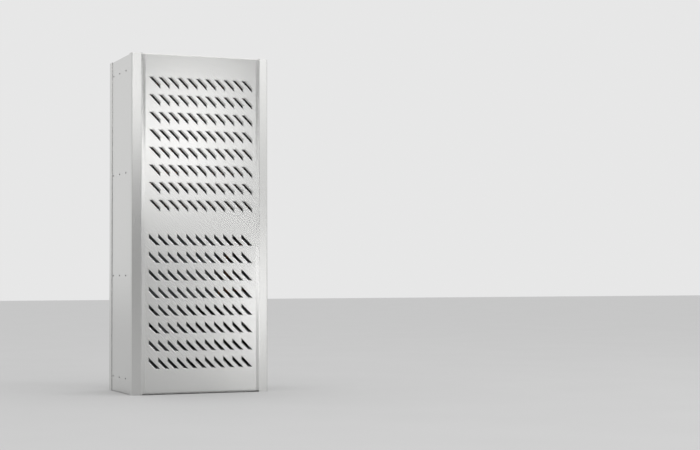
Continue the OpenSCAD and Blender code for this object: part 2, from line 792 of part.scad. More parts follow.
module condenser_fins() { color("lightgray") at_condenser() coil_fins(condenser_tubes_up); }
module evaporator_fins() { color("lightgray") at_evaporator() coil_fins(evaporator_tubes_up); }
module condenser_end_plates() {
    color(galvanised) at_condenser() coil_end_plates(condenser_tubes_up, 1);
}
module evaporator_end_plates() {
    color(galvanised) at_evaporator() coil_end_plates(evaporator_tubes_up, -1);
}
module condenser_tubes() { color(copper) at_condenser() coil_tubes(condenser_tubes_up, 1); }
module evaporator_tubes() { color(copper) at_evaporator() coil_tubes(evaporator_tubes_up, -1); }

coil_front_y = evaporator_y - coil_d / 2 - plate_margin;
baffle_lip = 14;

// Shelf that closes the gap between the partition and the top of the evaporator
module evaporator_baffle() {
    color(galvanised) along_x(coil_w) bent_sheet([
        [indoor_y, evaporator_z + evaporator_h + plate_margin + baffle_lip],
        [indoor_y, evaporator_z + evaporator_h + plate_margin],
        [coil_front_y + 2 * plate_margin, evaporator_z + evaporator_h + plate_margin]]);
}

// Tray from in front of the coil back to the rear plate, with the drain spout
module condensate_tray() {
    tray_front = coil_front_y - tray_lead;
    color("gray") difference() {
        union() {
            difference() {
                translate([-tray_half, tray_front, tray_z - tray_wall_h])
                    cube([2 * tray_half, rear_inner_y - tray_front, tray_wall_h]);
                translate([-tray_half + sheet, tray_front + sheet, tray_z - tray_wall_h + sheet])
                    cube([2 * (tray_half - sheet), rear_inner_y - tray_front - 2 * sheet, tray_wall_h]);
            }
            translate([drain_x, drain_y, tray_z - tray_wall_h - spout_l])
                cylinder(d = spout_d, h = spout_l + sheet);
        }
        translate([drain_x, drain_y, tray_z - tray_wall_h - spout_l - over])
            cylinder(d = spout_d - 2 * sheet, h = spout_l + sheet + 2 * over);
    }
}

module drain_nozzle() {
    color("black") translate([drain_x, drain_y, 0]) difference() {
        union() {
            cylinder(d = spout_d, h = floor_z + spout_l);
            translate([0, 0, floor_z]) cylinder(d = 2 * spout_d, h = drain_flange_t);
        }
        translate([0, 0, -over]) cylinder(d = spout_d - 2 * sheet, h = floor_z + spout_l + 2 * over);
    }
}

module drain_hose() {
    bottom = floor_z + hose_gap_low;
    top = tray_z - tray_wall_h - hose_gap_high;
    color("dimgray") translate([drain_x, drain_y, bottom]) difference() {
        cylinder(d = spout_d + 2 * hose_t, h = top - bottom);
        translate([0, 0, -over]) cylinder(d = spout_d + fit, h = top - bottom + 2 * over);
    }
}

// Fans
module at_motor_screws(z) {
    for (x = [-1, 1], up = [-1, 1])
        translate([x * motor_screw_gap / 2, 0, z + up * motor_screw_gap / 2]) children();
}

// Motor on its flange, drawn with its shaft along +Z from the mounting face
module fan_motor(h) {
    difference() {
        translate([-motor_flange / 2, -motor_flange / 2, 0])
            cube([motor_flange, motor_flange, motor_flange_t]);
        for (x = [-1, 1], y = [-1, 1]) translate([x, y, 0] * motor_screw_gap / 2)
            translate([0, 0, -over]) cylinder(d = motor_screw_d + fit, h = motor_flange_t + 2 * over);
    }
    translate([0, 0, motor_flange_t]) {
        difference() {
            cylinder(d = motor_d, h = h);
            for (i = [0:11]) rotate(i * 30) translate([motor_d / 2, 0, h / 6])
                cylinder(d = motor_d / 12, h = h);
        }
        cylinder(d = shaft_d, h = h + shaft_l);
    }
}

module outdoor_fan_motor() {
    color(dark) translate([0, partition_y, fan_z]) rotate([90, 0, 0]) fan_motor(axial_motor_h);
}

module enclosure_fan_motor() {
    color(dark) translate([0, indoor_y, radial_z]) rotate([-90, 0, 0]) fan_motor(radial_motor_h);
}

module fan_motor_screws() {
    head_h = 2.4;
    color(steel) {
        at_motor_screws(fan_z) {
            rod_y(motor_screw_d, partition_y - motor_flange_t, indoor_y);
            rod_y(2 * motor_screw_d, partition_y - motor_flange_t - head_h, partition_y - motor_flange_t);
        }
        at_motor_screws(radial_z) {
            rod_y(motor_screw_d, partition_y, indoor_y + motor_flange_t);
            rod_y(2 * motor_screw_d, indoor_y + motor_flange_t, indoor_y + motor_flange_t + head_h);
        }
    }
}

// Axial blade: cambered sections lofted from the hub to the tip, flatter and wider outwards
blade_root_r = (axial_hub_d - axial_hub_t) / 2;
blade_root_pitch = 38;
blade_tip_pitch = 21;
blade_root_chord = 44;
blade_tip_chord = 92;
blade_camber = 0.07;
blade_t = 2.4;
blade_edge_t = 0.9;
blade_sweep = 16;
blade_stations = 7;
blade_steps = 6;

function lerp(a, b, t) = a + (b - a) * t;

// Point of the blade at radius share t, chord share u from -1 to 1, on the face given by side
function blade_point(t, u, side) =
    let (r = lerp(blade_root_r, axial_d / 2, t),
         chord = lerp(blade_root_chord, blade_tip_chord, t),
         pitch = lerp(blade_root_pitch, blade_tip_pitch, t),
         along = u * chord / 2,
         rise = blade_camber * chord * (1 - u * u) + side * lerp(blade_edge_t, blade_t, 1 - u * u) / 2,
         round = along * cos(pitch) - rise * sin(pitch),
         axial = along * sin(pitch) + rise * cos(pitch),
         a = round / r * 180 / PI + blade_sweep * t * t)
    [r * cos(a), r * sin(a), axial];

module axial_blade() {
    ring = 2 * (blade_steps + 1);
    points = [
        for (s = [0:blade_stations - 1]) let (t = s / (blade_stations - 1)) each concat(
            [for (k = [0:blade_steps]) blade_point(t, 2 * k / blade_steps - 1, 1)],
            [for (k = [blade_steps:-1:0]) blade_point(t, 2 * k / blade_steps - 1, -1)])
    ];
    skin = [
        for (s = [0:blade_stations - 2], k = [0:ring - 1])
            let (a = s * ring + k, b = s * ring + (k + 1) % ring)
            each [[a, b, b + ring], [a, b + ring, a + ring]]
    ];
    last = (blade_stations - 1) * ring;
    caps = [for (k = [0:blade_steps - 1]) each [
        [k, ring - 1 - k, k + 1], [k + 1, ring - 1 - k, ring - 2 - k],
        [last + k, last + k + 1, last + ring - 1 - k],
        [last + k + 1, last + ring - 2 - k, last + ring - 1 - k]
    ]];
    polyhedron(points, concat(skin, caps), convexity = 6);
}

axial_mid_y = partition_y - motor_flange_t - axial_motor_h - hub_gap - axial_hub_h / 2;

module outdoor_impeller() {
    color("black") translate([0, axial_mid_y, fan_z]) rotate([90, 0, 0]) {
        difference() {
            translate([0, 0, -axial_hub_h / 2]) cylinder(d = axial_hub_d, h = axial_hub_h);
            translate([0, 0, -axial_hub_h / 2 - over])
                cylinder(d = axial_hub_d - 2 * axial_hub_t, h = axial_hub_h - 2 * axial_hub_t + over);
        }
        difference() {
            translate([0, 0, -axial_hub_h / 2]) cylinder(d = 3 * shaft_d, h = axial_hub_h);
            translate([0, 0, -axial_hub_h / 2 - over])
                cylinder(d = shaft_d + 2 * fit, h = axial_hub_h + 2 * over);
        }
        for (i = [0:axial_blades - 1]) rotate(i * 360 / axial_blades) axial_blade();
    }
}

// Centrifugal impeller: back disc, blades curved against the rotation, and front ring
radial_blade_inset = 4;
radial_blade_rim = 1;
radial_blade_in = radial_inlet_d / 2 - radial_blade_inset;
radial_blade_out = radial_d / 2 - radial_blade_rim;
radial_blade_lag = 42;
radial_blade_steps = 8;
radial_blade_t = 1.8;

function radial_blade_path() = [
    for (k = [0:radial_blade_steps])
        let (t = k / radial_blade_steps,
             r = lerp(radial_blade_in, radial_blade_out, t),
             a = -radial_blade_lag * pow(t, 1.3))
        [r * cos(a), r * sin(a)]
];

module enclosure_impeller() {
    color("black") translate([0, radial_disc_y, radial_z]) rotate([-90, 0, 0]) {
        difference() {
            union() {
                cylinder(d = radial_d, h = radial_disc_t);
                cylinder(d = 3 * shaft_d, h = shaft_l - hub_gap);
            }
            translate([0, 0, -over]) cylinder(d = shaft_d + 2 * fit, h = shaft_l + 2 * over);
        }
        for (i = [0:radial_blades - 1]) rotate(i * 360 / radial_blades)
            translate([0, 0, radial_disc_t / 2]) linear_extrude(radial_blade_w + radial_disc_t)
                bent_sheet(radial_blade_path(), radial_blade_t);
        translate([0, 0, radial_disc_t + radial_blade_w]) difference() {
            cylinder(d = radial_d, h = radial_disc_t);
            translate([0, 0, -over]) cylinder(d = radial_inlet_d, h = radial_disc_t + 2 * over);
        }
    }
}

// Bell mouth that leads the air from the rear plate into the impeller
inlet_r = radial_inlet_d / 2 - inlet_gap;
inlet_flare = 10;
inlet_lap = 12;

module inlet_ring() {
    ring_h = rear_inner_y - radial_ring_y - sheet;
    color(galvanised) translate([0, rear_inner_y, radial_z]) rotate([90, 0, 0]) difference() {
        rotate_extrude() {
            translate([inlet_r + inlet_flare - sheet, 0])
                square([inlet_hole_d / 2 - inlet_r - inlet_flare + inlet_lap + sheet, sheet]);
            translate([inlet_r - sheet, inlet_flare]) square([sheet, ring_h - inlet_flare]);
            intersection() {
                translate([inlet_r + inlet_flare - sheet, inlet_flare]) difference() {
                    circle(inlet_flare);
                    circle(inlet_flare - sheet);
                }
                translate([inlet_r - sheet, 0]) square(inlet_flare);
            }
        }
        for (a = [45:90:315]) rotate(a) translate([guard_r, 0, -over])
            cylinder(d = guard_screw_d + fit, h = sheet + 2 * over);
    }
}

// Finger guard of concentric rings over the round opening, held by four screwed lugs
guard_t = 2;
guard_ring_w = 2;
guard_spoke_w = 3;
guard_pitch = 12;
guard_hub_r = 9;
guard_lap = 1;
lug_r = 8;
lug_angles = [45:90:315];

module at_guard_lugs() {
    for (a = lug_angles) translate([guard_r * cos(a), 0, radial_z + guard_r * sin(a)]) children();
}

module intake_guard() {
    outer = inlet_hole_d / 2 + guard_lap;
    rings = floor((outer - guard_hub_r) / guard_pitch);
    color(dark) on_plane_y(rear_plate_y + guard_t) linear_extrude(guard_t)
        translate([0, radial_z]) difference() {
        union() {
            for (k = [0:rings - 1]) difference() {
                circle(outer - k * guard_pitch);
                circle(outer - k * guard_pitch - guard_ring_w);
            }
            circle(guard_hub_r);
            for (a = [0:45:315]) rotate(a) translate([0, -guard_spoke_w / 2])
                square([outer - guard_ring_w / 2, guard_spoke_w]);
            for (a = lug_angles) rotate(a) translate([guard_r, 0]) circle(lug_r);
        }
        for (a = lug_angles) rotate(a) translate([guard_r, 0]) circle(d = guard_screw_d + fit);
    }
}

// Compressor and its suspension
module dome(r, h, rise) {
    big = (r * r + rise * rise) / (2 * rise);
    square([r, h]);
    intersection() {
        translate([0, h + rise - big]) circle(big, $fn = 96);
        translate([0, h]) square([r, rise]);
    }
}

module at_feet() {
    for (x = [-1, 1], y = [-1, 1])
        translate([compressor_x + x * foot_gap_x / 2, compressor_y + y * foot_gap_y / 2, 0]) children();
}

module compressor() {
    color("black") {
        translate([compressor_x, compressor_y, shell_z]) {
            shell_dome();
            for (z = [compressor_h / 8, 3 * compressor_h / 4]) translate([0, 0, z]) rotate_extrude()
                translate([compressor_d / 2 - sheet, 0]) square([2 * sheet, 4 * sheet]);
        }
        translate([0, 0, foot_z]) linear_extrude(foot_t) difference() {
            union() {
                for (y = [-1, 1])
                    translate([compressor_x - foot_gap_x / 2, compressor_y + y * foot_gap_y / 2 - foot_lug_r])
                        square([foot_gap_x, 2 * foot_lug_r]);
                at_feet() circle(foot_lug_r);
                translate([compressor_x, compressor_y]) circle(d = compressor_d - 2 * foot_t);
            }
            at_feet() circle(grommet_neck_r + fit);
        }
    }
}

module compressor_grommets() {
    color("dimgray") at_feet() translate([0, 0, floor_z]) rotate_extrude() difference() {
        translate([stud_d / 2 + fit, 0])
            square([grommet_r - stud_d / 2 - fit, grommet_h + foot_t + grommet_top_h]);
        translate([grommet_neck_r, grommet_h]) square([grommet_r, foot_t]);
    }
}

module compressor_studs() {
    top = floor_z + grommet_h + foot_t + grommet_top_h;
    color(steel) at_feet() {
        translate([0, 0, floor_z]) cylinder(d = stud_d, h = top - floor_z + stud_tail);
        translate([0, 0, top]) cylinder(d = 3 * stud_d, h = washer_t);
        translate([0, 0, top + washer_t]) cylinder(d = 2 * stud_d, h = 0.8 * stud_d, $fn = 6);
    }
}

terminal_cap_r = 17;
terminal_cap_h = 24;
terminal_cap_x = 22;
discharge_sink = 6;

module shell_dome() {
    rise = compressor_d / 5;
    rotate_extrude() dome(compressor_d / 2, compressor_h - rise, rise);
}

// Cap over the terminals, cut to sit on the dome of the shell
module terminal_cover() {
    skirt = 8;
    color("black") translate([compressor_x, compressor_y, shell_z]) difference() {
        translate([-terminal_cap_x, 0, compressor_h - skirt])
            rotate_extrude() dome(terminal_cap_r, skirt + terminal_cap_h, terminal_cap_r / 4);
        shell_dome();
        translate([-terminal_cap_x, -terminal_cap_r, compressor_h + terminal_cap_h / 2])
            cube([2 * terminal_cap_r / 3, terminal_cap_r / 2, terminal_cap_h / 3], center = true);
    }
}

accumulator_end = 8;

// Accumulator beside the shell, with its elbow into the foot of the shell
module accumulator() {
    color("black") {
        translate([accumulator_x, compressor_y, accumulator_z]) rotate_extrude() {
            dome(accumulator_d / 2, accumulator_h - line_bend, line_bend);
            mirror([0, 1]) dome(accumulator_d / 2, over, accumulator_end);
        }
        pipe([
            [accumulator_x, compressor_y, accumulator_z - accumulator_end],
            [accumulator_x, compressor_y, accumulator_z - 3 * accumulator_end],
            [compressor_x + compressor_d / 2, compressor_y, accumulator_z - 3 * accumulator_end]], suction_d);
    }
}

module accumulator_bracket() {
    bracket_w = 26;
    bracket_reach = 8;
    color(steel) translate([0, 0, accumulator_z + accumulator_h / 2]) linear_extrude(bracket_w) difference() {
        translate([compressor_x + (compressor_d - bracket_reach) / 2, compressor_y - bracket_w / 2])
            square([bracket_reach, bracket_w]);
        translate([compressor_x, compressor_y]) circle(d = compressor_d, $fn = 180);
        translate([accumulator_x, compressor_y]) circle(d = accumulator_d, $fn = 180);
    }
}

// Refrigerant lines
header_top = condenser_z + condenser_h - tube_pitch / 2;
header_low = evaporator_z + tube_pitch / 2;

module discharge_line() {
    y = condenser_y + row_gap / 2;
    color(copper) difference() {
        pipe([
            [compressor_x + terminal_cap_x, compressor_y, shell_top - discharge_sink],
            [compressor_x + terminal_cap_x, compressor_y, discharge_z],
            [condenser_header_x, compressor_y, discharge_z],
            [condenser_header_x, y, discharge_z],
            [condenser_header_x, y, header_top],
            [bend_x, y, header_top]], line_d);
        translate([compressor_x, compressor_y, shell_z]) shell_dome();
    }
}

module liquid_line() {
    y = condenser_y - row_gap / 2;
    color(copper) {
        pipe([
            [bend_x, y, header_top],
            [condenser_header_x, y, header_top],
            [condenser_header_x, y, liquid_z],
            [drier_x, y, liquid_z],
            [drier_x, drier_y, liquid_z],
            [drier_x, drier_y, drier_z + drier_h + drier_neck]], line_d);
        pipe([
            [drier_x, drier_y, drier_z - drier_neck],
            [drier_x, drier_y, valve_z],
            [drier_x, evaporator_y - row_gap / 2, valve_z],
            [valve_x - valve_w / 2, evaporator_y - row_gap / 2, valve_z]], line_d, small_bend);
        pipe([
            [valve_x + valve_w / 2, evaporator_y - row_gap / 2, valve_z],
            [header_x, evaporator_y - row_gap / 2, valve_z],
            [header_x, evaporator_y - row_gap / 2, header_low],
            [bend_x, evaporator_y - row_gap / 2, header_low]], line_d, small_bend);
    }
}

module suction_line() {
    y = evaporator_y + row_gap / 2;
    color(copper) pipe([
        [bend_x, y, header_low],
        [header_x, y, header_low],
        [header_x, y, suction_z],
        [header_x, compressor_y, suction_z],
        [accumulator_x, compressor_y, suction_z],
        [accumulator_x, compressor_y, accumulator_top]], suction_d);
}

module filter_drier() {
    color(copper) translate([drier_x, drier_y, drier_z]) rotate_extrude() {
        polygon([[0, -drier_neck], [line_d / 2 + drier_collar, -drier_neck],
                 [drier_r, 0], [drier_r, drier_h],
                 [line_d / 2 + drier_collar, drier_h + drier_neck], [0, drier_h + drier_neck]]);
    }
}

// Valve block on its side, with a diaphragm head above and a hexagon cap below
valve_half = 9;
valve_neck_d = 13;
valve_neck_h = 5;
valve_head_low_d = 30;
valve_head_top_d = 24;
valve_head_h = 7;
valve_cap_d = 11;

module expansion_valve() {
    color("goldenrod") translate([valve_x, evaporator_y - row_gap / 2, valve_z]) {
        translate([-valve_w / 2, -valve_half, -valve_half]) cube([valve_w, 2 * valve_half, 2 * valve_half]);
        translate([0, 0, valve_half]) cylinder(d = valve_neck_d, h = valve_neck_h);
        translate([0, 0, valve_half + valve_neck_h])
            cylinder(d1 = valve_head_low_d, d2 = valve_head_top_d, h = valve_head_h);
        translate([0, 0, -2 * valve_half]) cylinder(d = valve_cap_d, h = valve_half, $fn = 6);
    }
}

// Electrical parts
control_corner = [control_x - control_w / 2, partition_y - control_d, control_z];

module control_box() {
    color(galvanised) translate(control_corner) difference() {
        cube([control_w, control_d, control_h]);
        translate([box_t, -over, box_t])
            cube([control_w - 2 * box_t, control_d - box_t + over, control_h - 2 * box_t]);
        for (x = [1, 2, 3]) translate([x * control_w / 4, control_d / 2, -over])
            cylinder(d = control_w / 8, h = box_t + 2 * over);
    }
}

module control_box_lid() {
    color(galvanised) difference() {
        translate([control_x - control_w / 2, partition_y - control_d - box_t, control_z])
            cube([control_w, box_t, control_h]);
        for (i = [0:7]) translate([control_x - control_w / 4, partition_y - control_d - box_t - over,
                                   control_z + control_h / 2 + (i - 3.5) * control_h / 16])
            cube([control_w / 2, box_t + 2 * over, control_h / 40]);
    }
}

// Board on spacers, with a row of relays, a transformer and a capacitor
board_side = 8;
board_inset_z = 15;
spacer_d = 6;
spacer_l = 10;
relay_count = 4;
relay_gap = 2;
relay_d = 16;
relay_h = 28;
relay_drop = 40;
transformer_z = 16;
transformer_d = 20;
transformer_h = 44;
capacitor_d = 26;
capacitor_l = 38;

module control_board() {
    board_w = control_w - 2 * board_side;
    board_h = control_h - 2 * board_inset_z;
    relay_step = (board_w - 2 * board_side) / relay_count;
    color("darkgreen")
        translate([control_x - board_w / 2, partition_y - box_t - spacer_l, control_z + board_inset_z]) {
        cube([board_w, board_t, board_h]);
        for (x = [spacer_d, board_w - spacer_d], z = [spacer_d, board_h - spacer_d])
            translate([x, 0, z]) rotate([-90, 0, 0]) cylinder(d = spacer_d, h = spacer_l);
        for (i = [0:relay_count - 1])
            translate([board_side + i * relay_step, -relay_d, board_h - relay_drop])
                cube([relay_step - relay_gap, relay_d, relay_h]);
        translate([board_w / 4, -transformer_d, transformer_z])
            cube([board_w / 2, transformer_d, transformer_h]);
        translate([board_w / 2, 0, board_h / 2])
            rotate([90, 0, 0]) cylinder(d = capacitor_d, h = capacitor_l);
    }
}

terminal_lip = 3;
terminal_lip_t = 1.8;
terminal_body_l = 18;
terminal_bore_l = 10;

module terminal_block() {
    color("orange") difference() {
        union() {
            translate([terminal_x - terminal_w / 2, rear_plate_y - terminal_body_l, terminal_z - terminal_h / 2])
                cube([terminal_w, terminal_body_l, terminal_h]);
            translate([terminal_x - terminal_w / 2 - terminal_lip, rear_plate_y,
                       terminal_z - terminal_h / 2 - terminal_lip])
                cube([terminal_w + 2 * terminal_lip, terminal_lip_t, terminal_h + 2 * terminal_lip]);
        }
        for (i = [0:terminal_ways - 1], z = [-1, 1])
            translate([terminal_x + (i - (terminal_ways - 1) / 2) * terminal_pitch, 0,
                       terminal_z + z * terminal_h / 4])
                rod_y(terminal_pitch / 2, rear_plate_y - terminal_bore_l, rear_plate_y + terminal_lip_t + over);
    }
}

front_cover();
cover_screws();
cover_nuts();
side_panel_left();
side_panel_right();
top_plate();
base_plate();
rear_frame();
wall_gasket();
fixing_nuts();
side_rivets();
outdoor_rails();
indoor_brackets();
partition();
fan_shroud();
baffle_seal();
condenser_fins();
condenser_end_plates();
condenser_tubes();
evaporator_fins();
evaporator_end_plates();
evaporator_tubes();
evaporator_baffle();
condensate_tray();
drain_hose();
drain_nozzle();
outdoor_fan_motor();
outdoor_impeller();
enclosure_fan_motor();
enclosure_impeller();
fan_motor_screws();
inlet_ring();
intake_guard();
compressor();
terminal_cover();
accumulator();
accumulator_bracket();
compressor_grommets();
compressor_studs();
discharge_line();
liquid_line();
suction_line();
filter_drier();
expansion_valve();
pipe_grommets();
control_box();
control_box_lid();
control_board();
terminal_block();
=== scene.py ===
import json
import math

import bmesh
import bpy
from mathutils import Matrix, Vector
from mathutils.geometry import delaunay_2d_cdt


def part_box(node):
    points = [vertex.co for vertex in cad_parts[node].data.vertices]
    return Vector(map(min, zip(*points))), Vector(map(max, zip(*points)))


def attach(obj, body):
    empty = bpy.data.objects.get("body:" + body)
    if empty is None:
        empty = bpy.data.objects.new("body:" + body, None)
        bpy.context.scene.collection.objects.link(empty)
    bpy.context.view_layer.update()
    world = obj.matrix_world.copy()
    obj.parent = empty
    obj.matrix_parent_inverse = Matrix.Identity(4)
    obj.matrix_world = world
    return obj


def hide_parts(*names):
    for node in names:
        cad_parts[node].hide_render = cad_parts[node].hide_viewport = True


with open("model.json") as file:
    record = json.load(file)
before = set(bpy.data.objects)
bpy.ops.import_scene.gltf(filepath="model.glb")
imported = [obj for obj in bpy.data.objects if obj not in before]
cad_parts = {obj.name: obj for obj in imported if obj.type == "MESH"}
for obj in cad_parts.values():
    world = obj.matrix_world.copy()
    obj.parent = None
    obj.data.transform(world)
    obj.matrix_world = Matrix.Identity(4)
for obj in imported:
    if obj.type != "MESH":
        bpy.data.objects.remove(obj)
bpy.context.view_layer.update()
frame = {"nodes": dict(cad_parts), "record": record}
nodes = frame["nodes"]
HOUSING = "housing"

MM = 0.001

# Camera fitted to the corners of the housing in the photograph: place in metres, angles in degrees
CAMERA_PLACE = (-1.2969, -4.3613, 0.3190)
CAMERA_YAW = 22.45
CAMERA_LENS = 80.70
CAMERA_SENSOR = 36.0
CAMERA_PITCH = 1.974
CAMERA_ROLL = 0.168
LEVEL = 90


def make_camera():
    data = bpy.data.cameras.new("camera")
    data.sensor_fit = "HORIZONTAL"
    data.sensor_width = CAMERA_SENSOR
    data.lens = CAMERA_LENS
    camera = bpy.data.objects.new("camera", data)
    camera.location = CAMERA_PLACE
    camera.rotation_euler = [math.radians(a) for a in (LEVEL + CAMERA_PITCH, CAMERA_ROLL, -CAMERA_YAW)]
    bpy.context.collection.objects.link(camera)
    bpy.context.scene.camera = camera


# Materials: most values of a noise, and of the cells of a Voronoi texture, lie between these
NOISE_LOW = 0.3
NOISE_HIGH = 0.7
CELLS_LOW = 0.1
CELLS_HIGH = 0.9


class Nodes:
    """Short calls for the nodes of one material."""

    def __init__(self, name):
        self.material = bpy.data.materials.new(name)
        self.material.use_nodes = True
        self.tree = self.material.node_tree
        self.shader = self.tree.nodes["Principled BSDF"]
        self.coords = self.tree.nodes.new("ShaderNodeTexCoord").outputs["Object"]

    def link(self, a, b):
        self.tree.links.new(a, b)

    def stretched(self, scale):
        node = self.tree.nodes.new("ShaderNodeMapping")
        node.inputs["Scale"].default_value = scale
        self.link(self.coords, node.inputs["Vector"])
        return node.outputs["Vector"]

    def noise(self, scale, detail=2.0, rough=0.5, coords=None):
        node = self.tree.nodes.new("ShaderNodeTexNoise")
        node.inputs["Scale"].default_value = scale
        node.inputs["Detail"].default_value = detail
        node.inputs["Roughness"].default_value = rough
        self.link(coords or self.coords, node.inputs["Vector"])
        return node.outputs["Fac"]

    def cells(self, scale):
        node = self.tree.nodes.new("ShaderNodeTexVoronoi")
        node.inputs["Scale"].default_value = scale
        self.link(self.coords, node.inputs["Vector"])
        return node.outputs["Color"]

    def grey(self, colour):
        node = self.tree.nodes.new("ShaderNodeRGBToBW")
        self.link(colour, node.inputs["Color"])
        return node.outputs["Val"]

    def ramp(self, value, low, high, start=NOISE_LOW, end=NOISE_HIGH):
        node = self.tree.nodes.new("ShaderNodeMapRange")
        node.inputs["From Min"].default_value = start
        node.inputs["From Max"].default_value = end
        node.inputs["To Min"].default_value = low
        node.inputs["To Max"].default_value = high
        self.link(value, node.inputs["Value"])
        return node.outputs["Result"]

    def colours(self, value, low, high, start=NOISE_LOW, end=NOISE_HIGH):
        node = self.tree.nodes.new("ShaderNodeValToRGB")
        node.color_ramp.elements[0].position = start
        node.color_ramp.elements[0].color = (*low, 1)
        node.color_ramp.elements[1].position = end
        node.color_ramp.elements[1].color = (*high, 1)
        self.link(value, node.inputs["Fac"])
        return node.outputs["Color"]

    def tinted(self, value, colour, low, high, start=NOISE_LOW, end=NOISE_HIGH):
        """Base colour between two tints of a colour."""
        self.link(self.colours(value, tint(colour, low), tint(colour, high), start, end),
                  self.shader.inputs["Base Color"])

    def roughened(self, value, low, high, start=NOISE_LOW, end=NOISE_HIGH):
        self.link(self.ramp(value, low, high, start, end), self.shader.inputs["Roughness"])

    def bump(self, height, distance, strength):
        node = self.tree.nodes.new("ShaderNodeBump")
        node.inputs["Strength"].default_value = strength
        node.inputs["Distance"].default_value = distance
        self.link(height, node.inputs["Height"])
        self.link(node.outputs["Normal"], self.shader.inputs["Normal"])

    def set(self, **values):
        for name, value in values.items():
            self.shader.inputs[name.replace("_", " ")].default_value = value


def tint(colour, share):
    return tuple(c * share for c in colour)


STEEL_ROUGHNESS = 0.24
LINE_SPREAD = 0.004
CLOUD_SPREAD = 0.01


def satin_steel(name, colour, grain):
    """Ground stainless sheet: hair-fine grain along one axis, slight cloudiness of the sheen."""
    m = Nodes(name)
    m.set(Metallic=1.0)
    lines = m.noise(1.0, detail=3.0, rough=0.6, coords=m.stretched(grain))
    clouds = m.noise(7.0)
    m.tinted(lines, colour, 0.985, 1.005)
    spread = m.tree.nodes.new("ShaderNodeMath")
    spread.operation = "ADD"
    m.link(m.ramp(lines, STEEL_ROUGHNESS - LINE_SPREAD, STEEL_ROUGHNESS + LINE_SPREAD), spread.inputs[0])
    m.link(m.ramp(clouds, -CLOUD_SPREAD, CLOUD_SPREAD, start=0.0, end=1.0), spread.inputs[1])
    m.link(spread.outputs[0], m.shader.inputs["Roughness"])
    m.bump(lines, distance=0.000002, strength=0.1)
    return m.material


def turned_metal(name, colour, roughness):
    """Machined or plated metal with a fine grain."""
    m = Nodes(name)
    m.set(Metallic=1.0)
    grain = m.noise(600.0, detail=3.0)
    m.tinted(grain, colour, 0.85, 1.1)
    m.roughened(grain, roughness - 0.08, roughness + 0.08)
    m.bump(grain, distance=0.00003, strength=0.4)
    return m.material


def galvanised_sheet(name, colour):
    """Zinc coat with its crystals."""
    m = Nodes(name)
    m.set(Metallic=0.85)
    crystals = m.grey(m.cells(110.0))
    m.tinted(crystals, colour, 0.78, 1.12, CELLS_LOW, CELLS_HIGH)
    m.roughened(crystals, 0.32, 0.55, CELLS_LOW, CELLS_HIGH)
    m.bump(m.noise(350.0), distance=0.00002, strength=0.3)
    return m.material


def copper_tube(name, colour):
    """Drawn copper with stains, which are darker and duller."""
    m = Nodes(name)
    m.set(Metallic=1.0)
    stain = m.noise(35.0, detail=4.0, rough=0.6)
    m.tinted(stain, colour, 0.55, 1.0)
    m.roughened(stain, 0.45, 0.25)
    m.bump(m.noise(500.0), distance=0.00002, strength=0.3)
    return m.material


def enamel(name, colour):
    """Sprayed paint with a light orange peel."""
    m = Nodes(name)
    peel = m.noise(420.0)
    m.tinted(m.noise(12.0, detail=3.0), colour, 0.85, 1.2)
    m.roughened(peel, 0.26, 0.36)
    m.set(Coat_Weight=0.25)
    m.bump(peel, distance=0.00006, strength=0.5)
    return m.material


def moulded(name, colour, roughness=0.5, scale=1400.0, depth=0.00005):
    """Spark-eroded plastic grain."""
    m = Nodes(name)
    grain = m.noise(scale, detail=3.0, rough=0.6)
    m.tinted(grain, colour, 0.85, 1.15)
    m.roughened(grain, roughness - 0.06, roughness + 0.08)
    m.bump(grain, distance=depth, strength=0.6)
    return m.material


def foam(name, colour):
    """Cell foam with open pores."""
    m = Nodes(name)
    m.set(Roughness=0.9)
    pores = m.grey(m.cells(900.0))
    m.tinted(pores, colour, 0.5, 1.3, CELLS_LOW, CELLS_HIGH)
    m.bump(pores, distance=0.0002, strength=0.7)
    return m.material


STEEL = (0.70, 0.70, 0.69)
VERTICAL_GRAIN = (2600.0, 2600.0, 14.0)

# By slot: name and colour, then roughness, and the scale and depth of a moulded grain
materials = {
    "stainless": satin_steel("satin_stainless", STEEL, VERTICAL_GRAIN),
    "bright_fasteners": turned_metal("zinc_plated_steel", (0.66, 0.66, 0.65), 0.3),
    # Rivets coloured dark grey all over: painted shade that stands in for the shade inside their centre holes
    "rivet_steel": turned_metal("rivet_steel_painted_hole_shade", (0.16, 0.16, 0.16), 0.42),
    "galvanised": galvanised_sheet("galvanised_sheet", (0.55, 0.57, 0.59)),
    "aluminium_fins": turned_metal("fin_aluminium", (0.78, 0.79, 0.80), 0.4),
    "copper": copper_tube("copper_tube", (0.80, 0.42, 0.27)),
    "brass": turned_metal("turned_brass", (0.76, 0.58, 0.28), 0.3),
    "black_painted_metal": enamel("black_enamel", (0.02, 0.02, 0.022)),
    "black_plastic": moulded("black_glass_filled_plastic", (0.025, 0.025, 0.027)),
    "grey_plastic": moulded("grey_tray_plastic", (0.32, 0.33, 0.34), 0.45),
    "black_rubber": moulded("black_rubber", (0.02, 0.02, 0.02), 0.7, 700.0, 0.0001),
    "black_foam": foam("black_cell_foam", (0.02, 0.02, 0.021)),
    "green_board": moulded("green_board_lacquer", (0.02, 0.16, 0.06), 0.3, 300.0, 0.00003),
    "orange_plastic": moulded("orange_plastic", (0.75, 0.25, 0.03), 0.4),
}


def dress_nodes():
    for row in frame["record"]["subparts"]:
        node = nodes[row["node"]]
        node.data.materials.clear()
        node.data.materials.append(materials[row["material_slot"]])


def mesh_object(name, mesh, slot_name, body=HOUSING):
    obj = bpy.data.objects.new(name, mesh)
    bpy.context.collection.objects.link(obj)
    mesh.materials.clear()
    mesh.materials.append(materials[slot_name])
    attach(obj, body)
    return obj


